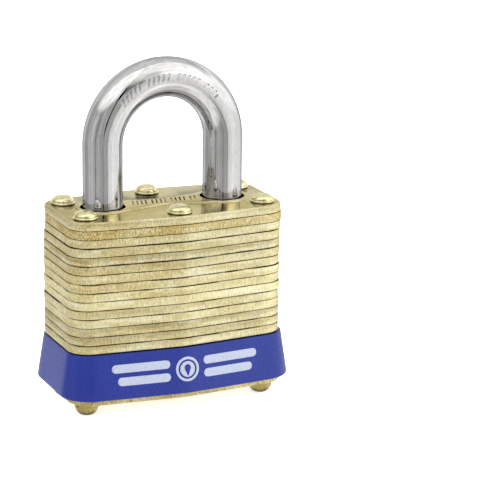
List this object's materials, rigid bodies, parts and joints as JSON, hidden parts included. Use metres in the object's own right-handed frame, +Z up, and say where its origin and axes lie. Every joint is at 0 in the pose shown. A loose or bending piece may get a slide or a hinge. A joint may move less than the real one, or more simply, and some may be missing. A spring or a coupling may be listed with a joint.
{
  "type": "padlock",
  "caption": "Laminated brass padlock with a chrome shackle, rivets, a blue bumper band and a working pin-tumbler lock inside, shown closed.",
  "frame": {"origin": "under the middle of the body, level with the crowns of the bottom rivets, on which the lock stands", "axes": "+X from the toe leg to the heel leg of the shackle, -Y the front, +Z up along the shackle"},
  "size_m": [0.0434, 0.025, 0.0622],
  "materials": {
    "brass_plate": "sheared and brushed",
    "brass_rivet": "polished",
    "brass_turned": "turned",
    "chrome": "polished chrome plate",
    "steel_part": "zinc plated",
    "spring_steel": "drawn wire",
    "bumper_vinyl": "smooth moulded"
  },
  "bodies": {
    "case": {"top_plate": "brass_plate", "lamination_02": "brass_plate", "lamination_03": "brass_plate", "lamination_04": "brass_plate", "lamination_05": "brass_plate", "lamination_06": "brass_plate", "lamination_07": "brass_plate", "lamination_08": "brass_plate", "lamination_09": "brass_plate", "lamination_10": "brass_plate", "lamination_11": "brass_plate", "lamination_12": "brass_plate", "lamination_13": "brass_plate", "lamination_14": "brass_plate", "lamination_15": "brass_plate", "lamination_16": "brass_plate", "lamination_17": "brass_plate", "lamination_18": "brass_plate", "lamination_19": "brass_plate", "lamination_20": "brass_plate", "bottom_plate": "brass_plate", "bumper": "bumper_vinyl", "corner_rivets": "brass_rivet", "middle_rivets": "brass_rivet", "cylinder_housing": "brass_turned", "pin_chamber_cover": "brass_turned", "pin_spring_1": "spring_steel", "pin_spring_2": "spring_steel", "pin_spring_3": "spring_steel", "pin_spring_4": "spring_steel", "toe_lever_spring": "spring_steel", "heel_lever_spring": "spring_steel"},
    "heel_spring": {"shackle_spring": "spring_steel"},
    "shackle": {"shackle": "chrome"},
    "plug": {"cylinder_plug": "brass_turned", "plug_retainer": "spring_steel", "locking_cam": "steel_part"},
    "toe_lever": {"toe_lever": "steel_part"},
    "heel_lever": {"heel_lever": "steel_part"},
    "key_pin_1": {"key_pin_1": "brass_turned"},
    "driver_pin_1": {"driver_pin_1": "steel_part"},
    "key_pin_2": {"key_pin_2": "brass_turned"},
    "driver_pin_2": {"driver_pin_2": "steel_part"},
    "key_pin_3": {"key_pin_3": "brass_turned"},
    "driver_pin_3": {"driver_pin_3": "steel_part"},
    "key_pin_4": {"key_pin_4": "brass_turned"},
    "driver_pin_4": {"driver_pin_4": "steel_part"}
  },
  "joints": [
    {"name": "shackle_swing", "type": "hinge", "parent": "case", "child": "heel_spring", "pos_m": [0.0115, 0, 0.03584], "axis": [0, 0, 1], "range_deg": [-1, 1]},
    {"name": "shackle_lift", "type": "slide", "parent": "heel_spring", "child": "shackle", "axis": [0, 0, 1], "range_m": [0, 0.012], "deforming": ["shackle_spring"]},
    {"name": "plug_turn", "type": "hinge", "parent": "case", "child": "plug", "pos_m": [0, 0, 0.0027], "axis": [0, 0, 1], "range_deg": [0, 90]},
    {"name": "toe_lever_slide", "type": "slide", "parent": "case", "child": "toe_lever", "axis": [1, 0, 0], "range_m": [-0.0018, 0], "stiffness_N_per_m": 150, "springref_m": -0.003, "deforming": ["toe_lever_spring"]},
    {"name": "heel_lever_slide", "type": "slide", "parent": "case", "child": "heel_lever", "axis": [-1, 0, 0], "range_m": [-0.0018, 0], "stiffness_N_per_m": 150, "springref_m": -0.003, "deforming": ["heel_lever_spring"]},
    {"name": "driver_pin_1_slide", "type": "slide", "parent": "case", "child": "driver_pin_1", "axis": [0, 1, 0], "range_m": [-0.0012, 0], "stiffness_N_per_m": 60, "springref_m": -0.003, "deforming": ["pin_spring_1"]},
    {"name": "key_pin_1_slide", "type": "slide", "parent": "plug", "child": "key_pin_1", "axis": [0, 1, 0], "range_m": [-0.0012, 0]},
    {"name": "driver_pin_2_slide", "type": "slide", "parent": "case", "child": "driver_pin_2", "axis": [0, 1, 0], "range_m": [-0.0018, 0], "stiffness_N_per_m": 60, "springref_m": -0.003, "deforming": ["pin_spring_2"]},
    {"name": "key_pin_2_slide", "type": "slide", "parent": "plug", "child": "key_pin_2", "axis": [0, 1, 0], "range_m": [-0.0018, 0]},
    {"name": "driver_pin_3_slide", "type": "slide", "parent": "case", "child": "driver_pin_3", "axis": [0, 1, 0], "range_m": [-0.001, 0], "stiffness_N_per_m": 60, "springref_m": -0.003, "deforming": ["pin_spring_3"]},
    {"name": "key_pin_3_slide", "type": "slide", "parent": "plug", "child": "key_pin_3", "axis": [0, 1, 0], "range_m": [-0.001, 0]},
    {"name": "driver_pin_4_slide", "type": "slide", "parent": "case", "child": "driver_pin_4", "axis": [0, 1, 0], "range_m": [-0.0015, 0], "stiffness_N_per_m": 60, "springref_m": -0.003, "deforming": ["pin_spring_4"]},
    {"name": "key_pin_4_slide", "type": "slide", "parent": "plug", "child": "key_pin_4", "axis": [0, 1, 0], "range_m": [-0.0015, 0]}
  ],
  "couplings": [
    {"joint": "key_pin_1_slide", "follows": "driver_pin_1_slide", "ratio": 1},
    {"joint": "key_pin_2_slide", "follows": "driver_pin_2_slide", "ratio": 1},
    {"joint": "key_pin_3_slide", "follows": "driver_pin_3_slide", "ratio": 1},
    {"joint": "key_pin_4_slide", "follows": "driver_pin_4_slide", "ratio": 1}
  ]
}
